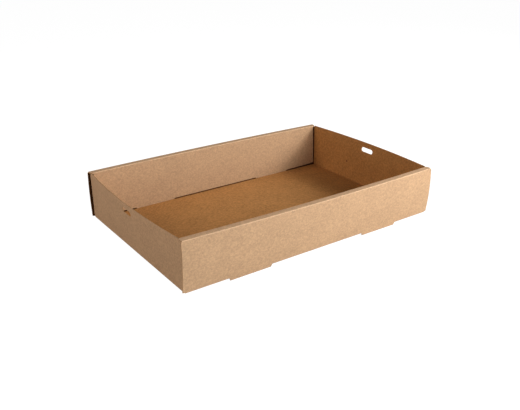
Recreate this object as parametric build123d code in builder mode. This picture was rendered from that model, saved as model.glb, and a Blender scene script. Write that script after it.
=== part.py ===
from build123d import *
import math
import os

# Cardboard tray box, folded from one die-cut blank of kraft board.
# X runs along the long walls, Y across the tray, Z up from what it stands on.

# Driving dimensions, mm
tray_length = 450.0  # end to end of the long walls
tray_width = 290.0  # over the creases where the long walls leave the base
tray_height = 80.0  # from the feet to the top of the rim
board = 1.0  # thickness of the board
bend_radius = 1.3  # outer radius of a crease
overrun = 5.0  # how far a cutter runs past what it cuts

# Long walls, each folded over on itself
foot_height = 4.0  # the base stands this far above the table
wall_flare = 2.5  # how far the rim stands out beyond the base crease
wall_belly = 2.0  # outward bulge of the outer panel at half height
rim_width = 10.5  # flat top between the two rim creases
rim_bow = 4.5  # outward bow of the rim at the middle of its length
cavity_width = 10.0  # clear space between outer panel and lining at the base
rim_setback = 0.5  # the rim ends this far inside the outer panel
rim_corner = 1.0  # radius where the end of the rim meets its outer crease
heel_relief = 2.0  # height of the slanted relief at the lower corners of a panel

# Feet under the outer panels and lock tabs under the linings
foot_place = 119.0  # middle of each foot from the middle of the tray
foot_length = 70.0  # along the base crease
foot_slant = 1.8  # each foot narrows this much at either end
tab_play = 0.5  # room for a lock tab at either end of its opening
tab_drop = 1.5  # how far a lock tab reaches below the base
tab_corner = 1.5  # radius at the lower corners of a lock tab
lining_slit = 1.2  # lower edge of the lining above the floor
lining_rise = 2.4  # how much more that edge rises at the ends of the lining
seat_play = 0.3  # room between the lining and the inner edge of an opening

# End walls, one board thick, each with a flap at either side
end_inset = 3.0  # base crease of an end wall inside the ends of the long walls
end_lean = 0.5  # how far an end wall leans out at its top corners
end_bow = 8.5  # outward bow of its top edge at the middle
step_depth = 1.5  # its top corners step down this much, to pass under the rims
step_play = 0.7  # room between a step and the inner crease of the rim
flap_gap = 0.4  # between a flap and the outer panel at the base
flap_length = 62.0  # from the end wall to the free edge
flap_corner = 8.0  # radius at the free end of a flap
flap_taper = 4.0  # upper and lower edges close in this much towards the free end
flap_lift = 0.8  # lower edge of a flap above the floor
flap_clear = 1.2  # upper edge of a flap below the underside of the rim
lining_end_gap = 2.2  # between the ends of the lining and the end wall

# Lid lock slots, one in the middle of each end wall
slot_length = 27.0
slot_width = 8.0
slot_drop = 9.0  # top of the slot below the top edge of the end wall

# Shares
belly_arc_share = 0.9  # share of the half panel that its curve takes up
fold_radius_share = 0.9  # outer radius of the long base creases, of the board
flap_splay_share = 0.45  # share of the bow of the rim that the flaps follow

# Worked out from the above
half_length = tray_length / 2
half_width = tray_width / 2
floor_level = foot_height + board
wall_middle = (foot_height + tray_height) / 2
bend_top = tray_height - bend_radius
fold_top = foot_height + bend_radius
fold_radius = fold_radius_share * board

panel_face = half_width - board
lining_face = panel_face - cavity_width - board
cavity_middle = panel_face - cavity_width / 2
rim_edge_at_ends = half_width + wall_flare
rim_end = half_length - rim_setback
crease_end = rim_end - rim_corner

foot_angle = math.degrees(math.atan2(foot_height, foot_slant))
tab_length = foot_length - 2 * tab_play
tab_bottom = foot_height - tab_drop
tab_outer = foot_place + tab_length / 2
lining_edge = floor_level + lining_slit

end_crease = half_length - end_inset
step_edge = rim_edge_at_ends - rim_width - step_play
lining_end = end_crease - board - lining_end_gap
lining_end_top = lining_end + end_lean
lining_corner = rim_end - lining_end_top
flap_face = panel_face - flap_gap
flap_root = end_crease - 2 * bend_radius
fold_half = flap_face - 2 * bend_radius
flap_tip = end_crease - flap_length
flap_low = floor_level + flap_lift
flap_high = tray_height - board - flap_clear
flap_splay = flap_splay_share * rim_bow * (1 - (flap_tip / half_length) ** 2)


def wall_section(place, bow):
    """Section of a folded-over long wall, from below the foot up over the rim to the tab."""
    rim_edge = rim_edge_at_ends + bow
    belly_out = (half_width + rim_edge) / 2 + 2 * wall_belly
    panel_slope = (belly_out - half_width) / (wall_middle - foot_height)
    lining_slope = (rim_edge - rim_width - lining_face) / (tray_height - floor_level)
    foot_end = (half_width - panel_slope * (foot_height + board), -board)
    belly = (belly_out, wall_middle)
    outer_crease = (rim_edge, tray_height)
    inner_crease = (rim_edge - rim_width, tray_height)
    tab_end = (lining_face - lining_slope * (floor_level - tab_bottom), tab_bottom)

    lower_run = Vector(*belly) - Vector(*foot_end)
    upper_run = Vector(*outer_crease) - Vector(*belly)
    turn = math.radians(lower_run.get_angle(upper_run))
    belly_radius = belly_arc_share * upper_run.length / math.tan(turn / 2)

    with BuildSketch(Plane.YZ.offset(place)) as section:
        with BuildLine():
            FilletPolyline(
                foot_end, belly, outer_crease, inner_crease, tab_end,
                radius=[belly_radius, bend_radius, bend_radius],
            )
            offset(amount=board, side=Side.LEFT)
        make_face()
    return section.sketch


def end_of_rim():
    """Plan of what is cut away beyond one end of the rim, with its two rounded corners."""
    with BuildSketch(Plane.XY.offset(bend_top)) as beyond:
        with BuildLine():
            rim_corner_middle = (crease_end, rim_edge_at_ends - bend_radius - rim_corner)
            lining_corner_middle = (lining_end_top, rim_edge_at_ends - rim_width + lining_corner)
            RadiusArc(
                (crease_end, rim_edge_at_ends - bend_radius),
                (rim_end, rim_corner_middle[1]),
                rim_corner,
            )
            Line((rim_end, rim_corner_middle[1]), (rim_end, lining_corner_middle[1]))
            RadiusArc(
                (rim_end, lining_corner_middle[1]),
                (lining_end_top, rim_edge_at_ends - rim_width),
                lining_corner,
            )
            Polyline(
                (lining_end_top, rim_edge_at_ends - rim_width),
                (lining_end_top, lining_face - overrun),
                (half_length + overrun, lining_face - overrun),
                (half_length + overrun, rim_edge_at_ends - bend_radius),
                (crease_end, rim_edge_at_ends - bend_radius),
            )
        make_face()
    return beyond.sketch


# One long wall, at the back of the tray, bowed outwards at the rim
with BuildPart() as long_wall:
    for place, bow in ((-half_length, 0), (0, rim_bow), (half_length, 0)):
        add(wall_section(place, bow))
    loft()

    # Lower edge of the outer panel, which leaves the two feet standing
    with BuildSketch(Plane.XZ.offset(-cavity_middle)):
        with Locations((0, foot_height)):
            Rectangle(tray_length + overrun, foot_height + overrun, align=(Align.CENTER, Align.MAX))
        with Locations((-foot_place, 0), (foot_place, 0)):
            Trapezoid(
                foot_length, foot_height, foot_angle,
                rotation=180, align=(Align.CENTER, Align.MAX), mode=Mode.SUBTRACT,
            )
    extrude(amount=-half_width, mode=Mode.SUBTRACT)

    # Lower edge of the lining, level between the tabs and rising towards the ends
    with BuildSketch(Plane.XZ.offset(-cavity_middle)):
        with BuildLine():
            Polyline(
                (-half_length, -overrun),
                (-half_length, lining_edge + lining_rise),
                (-tab_outer, lining_edge),
                (tab_outer, lining_edge),
                (half_length, lining_edge + lining_rise),
                (half_length, -overrun),
                close=True,
            )
        make_face()
        with Locations((-foot_place, tab_bottom), (foot_place, tab_bottom)):
            RectangleRounded(
                tab_length, 2 * lining_edge, tab_corner,
                align=(Align.CENTER, Align.MIN), mode=Mode.SUBTRACT,
            )
    extrude(amount=cavity_middle, mode=Mode.SUBTRACT)

    # Ends of the lining, cut to the lean of the end walls
    with BuildSketch(Plane.XZ.offset(-panel_face)):
        with BuildLine():
            Polyline(
                (lining_end, floor_level - overrun),
                (lining_end, floor_level),
                (lining_end_top, bend_top),
                (half_length + overrun, bend_top),
                (half_length + overrun, floor_level - overrun),
                close=True,
            )
        make_face()
        mirror(about=Plane.YZ)
    extrude(amount=panel_face, mode=Mode.SUBTRACT)

    # Ends of the rim
    add(end_of_rim())
    add(end_of_rim().mirror(Plane.YZ))
    extrude(amount=bend_radius + overrun, mode=Mode.SUBTRACT)

    # Upper corners of the outer panel, rounded into the rim crease
    with BuildSketch(Plane.XZ.offset(-(rim_edge_at_ends - bend_radius))):
        with BuildLine():
            corner = half_length - crease_end
            RadiusArc((half_length, bend_top - corner), (crease_end, bend_top), -corner)
            Polyline(
                (crease_end, bend_top),
                (crease_end, tray_height + overrun),
                (half_length + overrun, tray_height + overrun),
                (half_length + overrun, bend_top - corner),
                (half_length, bend_top - corner),
            )
        make_face()
        mirror(about=Plane.YZ)
    extrude(amount=-(rim_bow + overrun), mode=Mode.SUBTRACT)


# A flap at the side of an end wall, turned in and splayed to follow the bow of the long wall
with BuildPart() as flap:
    with BuildSketch(Plane.XZ.offset(-flap_face + board)) as flap_outline:
        with BuildLine():
            Polyline(
                (end_crease - board / 2, fold_top),
                (flap_root, fold_top),
                (flap_root, flap_low),
                (flap_tip, flap_low + flap_taper),
                (flap_tip, flap_high - flap_taper),
                (flap_root, flap_high),
                (flap_root, tray_height),
                (end_crease + end_lean - board / 2, tray_height),
                close=True,
            )
        make_face()
        fillet(flap_outline.vertices().group_by(Axis.X)[0], radius=flap_corner)
    extrude(amount=-(board + flap_splay))

    with BuildSketch():
        with BuildLine():
            Polyline(
                (half_length, flap_face),
                (flap_root, flap_face),
                (flap_tip, flap_face + flap_splay),
                (flap_tip, flap_face + flap_splay - board),
                (flap_root, flap_face - board),
                (half_length, flap_face - board),
                close=True,
            )
        make_face()
    extrude(amount=tray_height, mode=Mode.INTERSECT)


# One end wall, on the right, bowed outwards at its top edge, with its two flaps
with BuildPart() as end_wall:
    with BuildSketch(Plane.XY.offset(fold_top)):
        with Locations((end_crease, 0)):
            Rectangle(board, 2 * flap_face, align=(Align.MAX, Align.CENTER))
    with BuildSketch(Plane.XY.offset(tray_height)):
        with BuildLine():
            top = end_crease + end_lean
            outer_edge = ThreePointArc((top, -flap_face), (top + end_bow, 0), (top, flap_face))
            inner_edge = outer_edge.moved(Location((-board, 0, 0)))
            add(inner_edge)
            Line(outer_edge @ 0, inner_edge @ 0)
            Line(outer_edge @ 1, inner_edge @ 1)
        make_face()
    loft(ruled=True)
    add(flap.part)
    mirror(flap.part, about=Plane.XZ)

    # Bends between the wall and its flaps
    for face_place, radius in ((flap_face - board, bend_radius - board), (flap_face, bend_radius)):
        corners = end_wall.edges().filter_by(
            lambda edge: edge.center().X > end_crease - bend_radius
            and abs(abs(edge.center().Y) - face_place) < board / 4
            and edge.length > tray_height / 2
        )
        fillet(corners.group_by(Axis.X)[-1], radius=radius)

    # Relief at the lower corners, where the flaps aren't joined to the base
    with BuildSketch(Plane.XY.offset(fold_top)):
        with Locations((end_crease + end_bow, flap_face), (end_crease + end_bow, -flap_face)):
            Rectangle(2 * flap_length, 4 * bend_radius)
    extrude(amount=flap_low - fold_top, mode=Mode.SUBTRACT)

    # Steps in the top corners, under the ends of the rims
    with BuildSketch(Plane.XY.offset(tray_height - step_depth)):
        for side in (-1, 1):
            with Locations((flap_tip, side * step_edge)):
                Rectangle(
                    tray_length, flap_face, align=(Align.MIN, Align.MIN if side > 0 else Align.MAX)
                )
    extrude(amount=step_depth, mode=Mode.SUBTRACT)

    # Lid lock slot
    with BuildSketch(Plane.YZ.offset(end_crease - overrun)):
        with Locations((0, tray_height - slot_drop - slot_width / 2)):
            SlotOverall(slot_length, slot_width)
    extrude(amount=end_bow + 2 * overrun, mode=Mode.SUBTRACT)

    # Bend between the wall and the base
    with BuildSketch(Plane.XZ.offset(-fold_half)):
        with BuildLine():
            under = RadiusArc(
                (end_crease - bend_radius, foot_height), (end_crease, fold_top), -bend_radius
            )
            over = RadiusArc(
                (end_crease - bend_radius, floor_level),
                (end_crease - board, fold_top),
                -(bend_radius - board),
            )
            Line(under @ 0, over @ 0)
            Line(under @ 1, over @ 1)
        make_face()
    extrude(amount=2 * fold_half)

# The whole folded blank
with BuildPart() as tray:
    # Base, open above each foot for the lock tabs of the lining
    with BuildSketch(Plane.XY.offset(foot_height)):
        Rectangle(2 * (end_crease - bend_radius), 2 * (half_width - board / 2))
        for side in (-1, 1):
            with Locations((0, side * (half_width - board / 2))):
                Rectangle(
                    tray_length, cavity_width / 2,
                    align=(Align.CENTER, Align.MIN if side < 0 else Align.MAX),
                )
        opening_edge = lining_face - seat_play
        with GridLocations(2 * foot_place, panel_face + opening_edge, 2, 2):
            Rectangle(foot_length, panel_face - opening_edge, mode=Mode.SUBTRACT)
    extrude(amount=board)

    # Both long walls, bent up from the base between and beyond the feet
    add(long_wall.part)
    mirror(long_wall.part, about=Plane.XZ)
    base_creases = tray.edges().filter_by(
        lambda edge: abs(edge.center().Z - foot_height) < seat_play
        and abs(edge.center().Y) > half_width - seat_play
        and edge.length > 2 * board
    )
    fillet(base_creases, radius=fold_radius)

    # Reliefs at the lower corners of the outer panels
    for side in (-1, 1):
        with BuildSketch(Plane.XZ.offset(side * cavity_middle)):
            with BuildLine():
                Polyline(
                    (end_crease - bend_radius, foot_height - overrun),
                    (end_crease - bend_radius, foot_height + board),
                    (half_length, foot_height + heel_relief),
                    (half_length + overrun, foot_height + heel_relief),
                    (half_length + overrun, foot_height - overrun),
                    close=True,
                )
            make_face()
            mirror(about=Plane.YZ)
        extrude(amount=side * half_width, mode=Mode.SUBTRACT)

    # Both end walls
    add(end_wall.part)
    add(end_wall.part.rotate(Axis.Z, 180))

tray.part.label = "tray"
os.makedirs("parts", exist_ok=True)
export_step(tray.part, "parts/tray.step")
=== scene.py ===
import math

import bpy
from mathutils import Matrix, Vector

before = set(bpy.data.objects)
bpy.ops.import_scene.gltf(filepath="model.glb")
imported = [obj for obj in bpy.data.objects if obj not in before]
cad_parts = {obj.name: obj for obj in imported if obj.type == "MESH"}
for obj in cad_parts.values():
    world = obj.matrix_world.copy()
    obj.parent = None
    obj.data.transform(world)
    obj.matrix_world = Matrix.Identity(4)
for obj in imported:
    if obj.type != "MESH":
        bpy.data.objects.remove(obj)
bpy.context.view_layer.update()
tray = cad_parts["tray"]
scene = bpy.context.scene

# Camera, fitted to the corners of the tray in the photograph
FRAME_WIDTH_PX = 520
FOCAL_PX = 663.5
SENSOR_WIDTH_MM = 36
CAMERA_AT = (-0.56685, -0.7912, 0.44264)
AZIMUTH, ELEVATION, ROLL = (math.radians(angle) for angle in (35.542, 23.468, 0.215))
PLUMB = Vector((0, 0, 1))

ahead = Vector((
    math.sin(AZIMUTH) * math.cos(ELEVATION),
    math.cos(AZIMUTH) * math.cos(ELEVATION),
    -math.sin(ELEVATION),
))
level_right = ahead.cross(PLUMB).normalized()
level_up = level_right.cross(ahead)
right = level_right * math.cos(ROLL) + level_up * math.sin(ROLL)
up = level_up * math.cos(ROLL) - level_right * math.sin(ROLL)

camera_data = bpy.data.cameras.new("camera")
camera_data.sensor_width = SENSOR_WIDTH_MM
camera_data.lens = FOCAL_PX * SENSOR_WIDTH_MM / FRAME_WIDTH_PX
camera_data.clip_start = 0.05
camera_data.clip_end = 60
camera = bpy.data.objects.new("camera", camera_data)
camera.matrix_world = Matrix.Translation(CAMERA_AT) @ Matrix((right, up, -ahead)).transposed().to_4x4()
scene.collection.objects.link(camera)
scene.camera = camera

# Most of a noise lies between these
NOISE_LOW, NOISE_HIGH = 0.3, 0.7


class Nodes:
    """A material's node tree. Each call adds a node or more and returns an output."""

    def __init__(self, name):
        self.material = bpy.data.materials.new(name)
        self.material.use_nodes = True
        self.tree = self.material.node_tree
        self.tree.nodes.clear()

    def add(self, kind, inputs=(), out=0, **settings):
        node = self.tree.nodes.new(kind)
        for name, value in settings.items():
            setattr(node, name, value)
        for key, value in inputs.items() if isinstance(inputs, dict) else enumerate(inputs):
            if isinstance(value, bpy.types.NodeSocket):
                self.tree.links.new(value, node.inputs[key])
            else:
                node.inputs[key].default_value = value
        return node.outputs[out]

    def math(self, operation, *values):
        return self.add("ShaderNodeMath", values, operation=operation)

    def fold(self, operation, *values):
        made = values[0]
        for value in values[1:]:
            made = self.math(operation, made, value)
        return made

    def absolute(self, value):
        return self.math("ABSOLUTE", value)

    def above(self, value, limit):
        return self.math("GREATER_THAN", value, limit)

    def below(self, value, limit):
        return self.math("LESS_THAN", value, limit)

    def between(self, value, low, high):
        return self.both(self.above(value, low), self.below(value, high))

    def both(self, *masks):
        return self.fold("MULTIPLY", *masks)

    def either(self, *masks):
        return self.fold("MAXIMUM", *masks)

    def ramp(self, value, low, high, to_low=0.0, to_high=1.0):
        """Value, as it goes from low to high, turned smoothly into to_low to to_high."""
        return self.add(
            "ShaderNodeMapRange", (value, low, high, to_low, to_high), interpolation_type="SMOOTHSTEP"
        )

    def noise(self, place, scale, detail, roughness):
        return self.add(
            "ShaderNodeTexNoise",
            {"Vector": place, "Scale": scale, "Detail": detail, "Roughness": roughness},
        )

    def swing(self, noise, amount):
        """Noise turned into -amount to amount."""
        return self.ramp(noise, NOISE_LOW, NOISE_HIGH, -amount, amount)

    def mix(self, share, first, second):
        return self.add("ShaderNodeMix", {0: share, 6: first, 7: second}, out=2, data_type="RGBA")

    def scaled(self, colour, amount):
        return self.add("ShaderNodeVectorMath", {0: colour, 3: amount}, operation="SCALE")

    def stretched(self, place, *factors):
        """Place scaled along each axis. A factor under 1 draws a noise out along that axis."""
        return self.add("ShaderNodeVectorMath", {0: place, 1: factors}, operation="MULTIPLY")

    def distance(self, place, point):
        return self.add("ShaderNodeVectorMath", {0: place, 1: point}, out="Value", operation="DISTANCE")

    def finish(self, shader):
        self.tree.links.new(shader, self.tree.nodes.new("ShaderNodeOutputMaterial").inputs["Surface"])
        return self.material


# How much of a face's normal lies along an axis, for the face to count as turned that way
SLANTED, HALF_TURNED, TURNED, SQUARE, FLAT = 0.35, 0.5, 0.6, 0.7, 0.8

# Limits between the surfaces of the tray, in metres in the row frame, a little off the faces
# themselves. Those along X and Y count from the middle of the tray to either side.
Z_FEET = 0.0038  # only feet and lock tabs are lower
Z_BASE_LOW, Z_BASE_MIDDLE, Z_BASE_HIGH = 0.0039, 0.0045, 0.0051  # the edges of the base
Z_UNDERSIDES = 0.0055  # the lower edges of linings and flaps are higher
Z_FLOOR = 0.0056  # the floor is lower
Z_TOPS = 0.0062  # the upper edges of end walls and flaps are higher
Z_LINING_FOOT = 0.0067  # top of the painted shadow strip along the foot of a lining
Z_END_STEP = 0.0782  # the part of an end wall inside the hollow is lower
Z_RIM_UNDERSIDE = 0.0785  # the undersides of the rims are higher
Z_RIM_EDGE = 0.0788  # the ends of the rims are higher
Z_PANEL_TOP = 0.0794  # the inner faces of the outer panels are lower
Z_RIM_TOP = 0.0795  # the tops of the rims are higher

Y_TABS = 0.12  # feet and lock tabs are further out
Y_LINING_EDGE = 0.132  # the ends of linings and flaps are further out
Y_SLIT = 0.1323  # near side of the painted shadow strip of floor along a lining
Y_LINING_LOW, Y_LINING_HIGH = 0.13, 0.1345  # the foot of a lining lies between
Y_HOLLOW = 0.1333  # the hollow of a long wall is further out
Y_RIM_END = 0.1364  # the ends of the rims are further out
Y_RIM = 0.1366  # the tops of the rims are further out
Y_PANEL = 0.142  # the inner face of an outer panel is further out
Y_LINING_BACK = 0.143  # the back of a lining is nearer
Y_PANEL_END = 0.1438  # the ends of the outer panels are further out
Y_BASE = 0.1442  # the edges of the base are nearer

X_SLOT = 0.22  # the lid slots are further out
X_LINING_END = 0.2203  # the ends of linings and flaps are nearer
X_END_WALL = 0.2205  # the end walls are further out
X_PANEL_END = 0.2235  # the ends of the outer panels are further out

LINING_AT, LINING_SLOPE = 0.1326, 0.0533  # just inside a lining, so that the painted shade also covers a thin strip of end wall beside it: its place at Z 0, and its lean
TAB_PLACE, TAB_REACH = 0.119, 0.0355  # middle and half length of a lock tab, with some room
SLOT_LEVEL, SLOT_REACH, SLOT_HALF_WIDTH = 0.067, 0.0142, 0.0045  # a lid slot, with some room

# Where the board is, and which way it faces
n = Nodes("kraft_board_procedural")
place = n.add("ShaderNodeTexCoord", out="Object")
x, y, z = (n.add("ShaderNodeSeparateXYZ", (place,), out=axis) for axis in "XYZ")
normal = n.add("ShaderNodeNewGeometry", out="Normal")
nx, ny, nz = (n.add("ShaderNodeSeparateXYZ", (normal,), out=axis) for axis in "XYZ")
far_x, far_y = n.absolute(x), n.absolute(y)
side_x, side_y, side_z = (n.absolute(part) for part in (nx, ny, nz))
inward = n.math("MULTIPLY", y, ny)  # below 0 on a long wall's faces that look into the tray
long_face = n.above(side_y, TURNED)

# Which side of the blank shows: its inner side is on the floor and inside the end walls
end_inside = n.both(
    n.below(n.math("MULTIPLY", x, nx), 0), n.above(side_x, TURNED), n.above(far_x, X_END_WALL)
)
on_floor = n.both(n.above(nz, TURNED), n.below(z, Z_FLOOR))
inner_side = n.either(end_inside, on_floor)

# Raw cut edges, darker partly as the cut board's own tone and partly as painted shade: tops of end
# walls and flaps, undersides, ends of outer panels, ends of rims, sides of feet and tabs, ends of
# linings and flaps, edges of the base, insides of the lid slots
raw_edge_and_shade = n.either(
    n.both(n.above(nz, FLAT), n.above(z, Z_TOPS), n.either(n.below(far_y, Y_RIM), n.below(z, Z_RIM_EDGE))),
    n.both(
        n.below(nz, -FLAT), n.below(z, Z_RIM_UNDERSIDE),
        n.either(n.below(z, Z_FEET), n.above(z, Z_UNDERSIDES)),
    ),
    n.both(n.above(side_x, SQUARE), n.above(far_y, Y_PANEL_END), n.above(far_x, X_PANEL_END)),
    n.both(n.above(side_x, SLANTED), n.above(far_y, Y_RIM_END), n.above(z, Z_RIM_EDGE)),
    n.both(n.above(side_x, TURNED), n.above(far_y, Y_TABS), n.below(z, Z_BASE_MIDDLE)),
    n.both(n.above(side_x, SQUARE), n.above(far_y, Y_LINING_EDGE), n.below(far_x, X_LINING_END)),
    n.both(n.below(side_z, HALF_TURNED), n.between(z, Z_BASE_LOW, Z_BASE_HIGH), n.below(far_y, Y_BASE)),
    n.both(
        n.below(side_x, HALF_TURNED), n.above(far_x, X_SLOT), n.below(far_y, SLOT_REACH),
        n.below(n.absolute(n.math("SUBTRACT", z, SLOT_LEVEL)), SLOT_HALF_WIDTH),
    ),
)

# Painted shade inside the hollow long walls, seen only through slits and openings: inner faces of the
# outer panels, floor, backs of the linings, and end walls beyond the linings, with a thin painted
# shadow on the end walls beside the linings. The last two masks are painted shadow strips of floor
# and lining beside the slit along the foot of a lining, because the slit by itself is narrower than a
# pixel.
off_tabs = n.above(n.absolute(n.math("SUBTRACT", far_x, TAB_PLACE)), TAB_REACH)
past_lining = n.above(n.math("SUBTRACT", far_y, n.math("MULTIPLY", z, LINING_SLOPE)), LINING_AT)
painted_hollow_shade = n.either(
    n.both(long_face, n.below(inward, 0), n.above(far_y, Y_PANEL), n.below(z, Z_PANEL_TOP)),
    n.both(on_floor, n.above(far_y, Y_HOLLOW)),
    n.both(
        long_face, n.above(inward, 0), n.between(far_y, Y_HOLLOW, Y_LINING_BACK),
        n.below(z, Z_RIM_UNDERSIDE), n.below(far_x, X_END_WALL),
    ),
    n.both(end_inside, past_lining, n.below(z, Z_END_STEP)),
    n.both(on_floor, n.above(far_y, Y_SLIT), off_tabs),
    n.both(long_face, n.between(far_y, Y_LINING_LOW, Y_LINING_HIGH), n.below(z, Z_LINING_FOOT), off_tabs),
)

# Rubbed places, lightened partly as wear and partly as a painted highlight: the tops of the rims, and
# bends, where the board faces along no axis
BEND_LOW, BEND_HIGH = 0.93, 0.975  # largest part of the normal in a bend, and in flat board
Z_CREASE_LOW, Z_CREASE_HIGH = 0.0765, 0.0775  # the creases of the rims are higher
# Wear and painted highlight of the creases below the rims, of the tops of the rims, and of all bends on
# the inner side, as shares of the wear and painted highlight of the rims' creases
LOWER_CREASE_WEAR_AND_HIGHLIGHT, RIM_TOP_WEAR_AND_HIGHLIGHT, INNER_WEAR_AND_HIGHLIGHT = 0.45, 0.2, 0.25
crease = n.ramp(n.fold("MAXIMUM", side_x, side_y, side_z), BEND_HIGH, BEND_LOW)
rim_top = n.both(n.above(nz, FLAT), n.above(z, Z_RIM_TOP), n.above(far_y, Y_RIM))
wear_and_painted_highlight = n.either(
    n.math("MULTIPLY", crease, n.ramp(z, Z_CREASE_LOW, Z_CREASE_HIGH, LOWER_CREASE_WEAR_AND_HIGHLIGHT, 1.0)),
    n.math("MULTIPLY", rim_top, RIM_TOP_WEAR_AND_HIGHLIGHT),
)
wear_and_painted_highlight = n.math("MULTIPLY", wear_and_painted_highlight, n.ramp(inner_side, 0, 1, 1.0, INNER_WEAR_AND_HIGHLIGHT))

# The fibres run along the blank: along X on the floor and long walls, and up the end walls
along_end = n.add("ShaderNodeCombineXYZ", (z, y, x))
blank = n.add(
    "ShaderNodeMix", {0: n.above(side_x, TURNED), 4: place, 5: along_end}, out=1, data_type="VECTOR"
)
cloud = n.noise(place, scale=26, detail=3, roughness=0.55)
mottle = n.noise(n.stretched(blank, 0.85, 1, 1), scale=330, detail=3, roughness=0.6)
grain = n.noise(n.stretched(blank, 0.8, 1, 1), scale=680, detail=2, roughness=0.6)
streak = n.noise(n.stretched(blank, 0.2, 1, 1), scale=900, detail=2, roughness=0.5)
tint = n.noise(n.stretched(blank, 1, 0.9, 1.1), scale=230, detail=2, roughness=0.5)

# Unevenness of tone: how far each noise swings it, and how much more it swings on the inner side
CLOUD_SWING, MOTTLE_SWING, GRAIN_SWING, STREAK_SWING = 0.03, 0.105, 0.085, 0.02
INNER_SWING = 1.45
tone = n.fold(
    "ADD",
    n.swing(cloud, CLOUD_SWING), n.swing(mottle, MOTTLE_SWING),
    n.swing(grain, GRAIN_SWING), n.swing(streak, STREAK_SWING),
)
tone = n.math("ADD", n.math("MULTIPLY", tone, n.ramp(inner_side, 0, 1, 1.0, INNER_SWING)), 1.0)

# Colours, and how strongly the tint and the speck show
OUTER_SIDE = (0.492, 0.3032, 0.1696, 1)
# the same kraft as the outer side, painted darker and redder as shade for the floor and the insides of the
# end walls
SHADED_INNER_SIDE = (0.458, 0.215, 0.067, 1)
YELLOWER = (0.55, 0.4, 0.2, 1)
# wear and painted highlight: lighter on the creases and the tops of the rims
WEAR_AND_HIGHLIGHT_COLOUR = (0.64, 0.416, 0.248, 1)
# painted shade: near black for the inside of the hollow walls and the slits beside the linings
HOLLOW_SHADE_COLOUR = (0.1, 0.036, 0.006, 1)
# raw edges: the cut board's own darker tone, deepened as painted shade
RAW_EDGE_AND_SHADE_COLOUR = (0.4, 0.225, 0.1, 1)
SPECK = (0.12, 0.05, 0.02, 1)
TINT_LOW, TINT_HIGH, TINT_SHARE = 0.35, 0.65, 0.05
SPECK_AT = (0.2243, 0.0452, 0.0355)  # on the inside of the right end wall
SPECK_CORE, SPECK_RADIUS, SPECK_SHARE = 0.0009, 0.0021, 0.9

outer_side = n.math("SUBTRACT", 1.0, inner_side)
outer_tint = n.both(n.ramp(tint, TINT_LOW, TINT_HIGH, 0.0, TINT_SHARE), outer_side)
from_speck = n.distance(place, SPECK_AT)
speck = n.both(n.ramp(from_speck, SPECK_RADIUS, SPECK_CORE, 0.0, SPECK_SHARE), end_inside)
board = n.mix(inner_side, OUTER_SIDE, SHADED_INNER_SIDE)
# Layers over the board: tint and speck are its own colour; the rest are wear with a painted highlight,
# painted hollow shade, and raw edges partly darkened as painted shade
for share, colour in (
    (outer_tint, YELLOWER), (wear_and_painted_highlight, WEAR_AND_HIGHLIGHT_COLOUR), (painted_hollow_shade, HOLLOW_SHADE_COLOUR), (raw_edge_and_shade, RAW_EDGE_AND_SHADE_COLOUR), (speck, SPECK),
):
    board = n.mix(share, board, colour)

# Relief in metres
MOTTLE_RELIEF, GRAIN_RELIEF = 0.00006, 0.00004
relief = n.math("ADD", n.math("MULTIPLY", mottle, MOTTLE_RELIEF), n.math("MULTIPLY", grain, GRAIN_RELIEF))
tray.material_slots[0].material = n.finish(
    n.add(
        "ShaderNodeBsdfPrincipled",
        {
            "Base Color": n.scaled(board, tone), "Roughness": 0.8, "Specular IOR Level": 0.2,
            "Normal": n.add("ShaderNodeBump", {"Height": relief, "Distance": 1.0, "Strength": 1.0}),
        },
    )
)

# Floor, turned up at its far edge into a low backdrop: radius and height of each ring, in metres
FLOOR_RINGS = ((4.5, 0), (5.2, 0.06), (5.7, 0.3), (5.9, 0.75), (6.0, 1.5))
FLOOR_TURNS = 96


def flat_floor(name, level, base, glow, glow_strength):
    """A wide matt floor at level, which also glows."""
    f = Nodes(name)
    material = f.finish(
        f.add(
            "ShaderNodeBsdfPrincipled",
            {
                "Base Color": base, "Roughness": 1.0, "Specular IOR Level": 0.0,
                "Emission Color": glow, "Emission Strength": glow_strength,
            },
        )
    )
    points = [
        (
            radius * math.cos(2 * math.pi * turn / FLOOR_TURNS),
            radius * math.sin(2 * math.pi * turn / FLOOR_TURNS),
            height + level,
        )
        for radius, height in FLOOR_RINGS
        for turn in range(FLOOR_TURNS)
    ]
    faces = [tuple(range(FLOOR_TURNS))] + [
        (
            ring * FLOOR_TURNS + turn,
            (ring + 1) * FLOOR_TURNS + turn,
            (ring + 1) * FLOOR_TURNS + (turn + 1) % FLOOR_TURNS,
            ring * FLOOR_TURNS + (turn + 1) % FLOOR_TURNS,
        )
        for ring in range(len(FLOOR_RINGS) - 1)
        for turn in range(FLOOR_TURNS)
    ]
    mesh = bpy.data.meshes.new(name)
    mesh.from_pydata(points, [], faces)
    mesh.materials.append(material)
    made = bpy.data.objects.new(name, mesh)
    scene.collection.objects.link(made)
    return made


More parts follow.
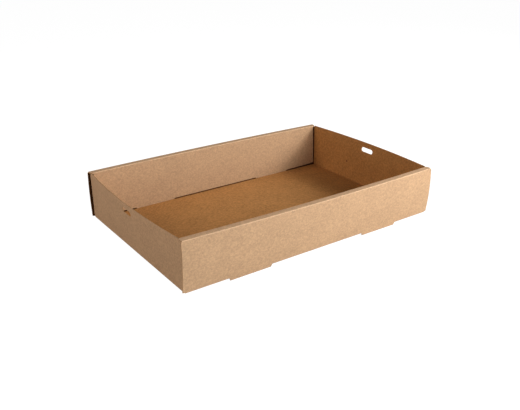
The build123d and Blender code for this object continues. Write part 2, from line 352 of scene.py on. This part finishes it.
# The floor that is seen is near white, and throws no light at the tray. The light from below comes
# from a dimmer floor under it, which isn't seen.
floor = flat_floor(
    "floor", level=-0.0002, base=(0.15, 0.15, 0.15, 1), glow=(1, 1, 1, 1), glow_strength=0.98
)
floor.visible_diffuse = False
floor.visible_glossy = False
floor.visible_shadow = False
bounce = flat_floor(
    "bounce", level=-0.0012, base=(0.5, 0.5, 0.5, 1), glow=(0.865, 0.926, 1.0, 1), glow_strength=0.2
)
bounce.visible_camera = False

# The world gives no light: it comes from the lamps, and from the floor that isn't seen
world = bpy.data.worlds.new("studio")
world.use_nodes = True
world.node_tree.nodes["Background"].inputs["Strength"].default_value = 0.0
scene.world = world

# Middle of the tray, which the lamps are turned to
LAMPS_AIM_AT = Vector((0, 0, 0.04))

# Azimuth from the front, -Y, to the right, +X, and elevation, in degrees; distance, width and
# height in metres; power in watts; colour
LAMPS = {
    "key": (40, 25, 1.6, 0.35, 0.35, 8.6, (0.994, 0.991, 1.0)),
    "near_key": (25, 22, 0.7, 0.3, 0.3, 0.775, (0.93, 0.97, 1.0)),
    "low_fill": (-8, 8, 0.9, 0.3, 0.3, 0.8, (0.92, 0.97, 1.0)),
    "side_key": (60, 25, 1.6, 0.35, 0.35, 4.85, (0.94, 0.958, 1.0)),
    "front": (20, 14, 1.6, 0.7, 0.6, 9.7, (0.985, 1.0, 0.998)),
    "side": (80, 30, 1.6, 0.7, 0.6, 11.46, (0.977, 0.982, 1.0)),
    "left": (-100, 30, 1.6, 0.7, 0.6, 9.363, (1.0, 0.888, 0.794)),
    "back_fill": (178, 10, 1.6, 0.7, 0.6, 4.5, (1.0, 0.97, 0.94)),
}
for name, (azimuth, elevation, distance, width, height, power, colour) in LAMPS.items():
    lamp = bpy.data.lights.new(name, "AREA")
    lamp.shape = "RECTANGLE"
    lamp.size, lamp.size_y = width, height
    lamp.energy = power
    lamp.color = colour
    holder = bpy.data.objects.new(name, lamp)
    turn, rise = math.radians(azimuth), math.radians(elevation)
    away = Vector((math.sin(turn) * math.cos(rise), -math.cos(turn) * math.cos(rise), math.sin(rise)))
    holder.location = distance * away + LAMPS_AIM_AT
    holder.rotation_euler = (-away).to_track_quat("-Z", "Y").to_euler()
    holder.visible_camera = False
    scene.collection.objects.link(holder)

scene.view_settings.view_transform = "Standard"
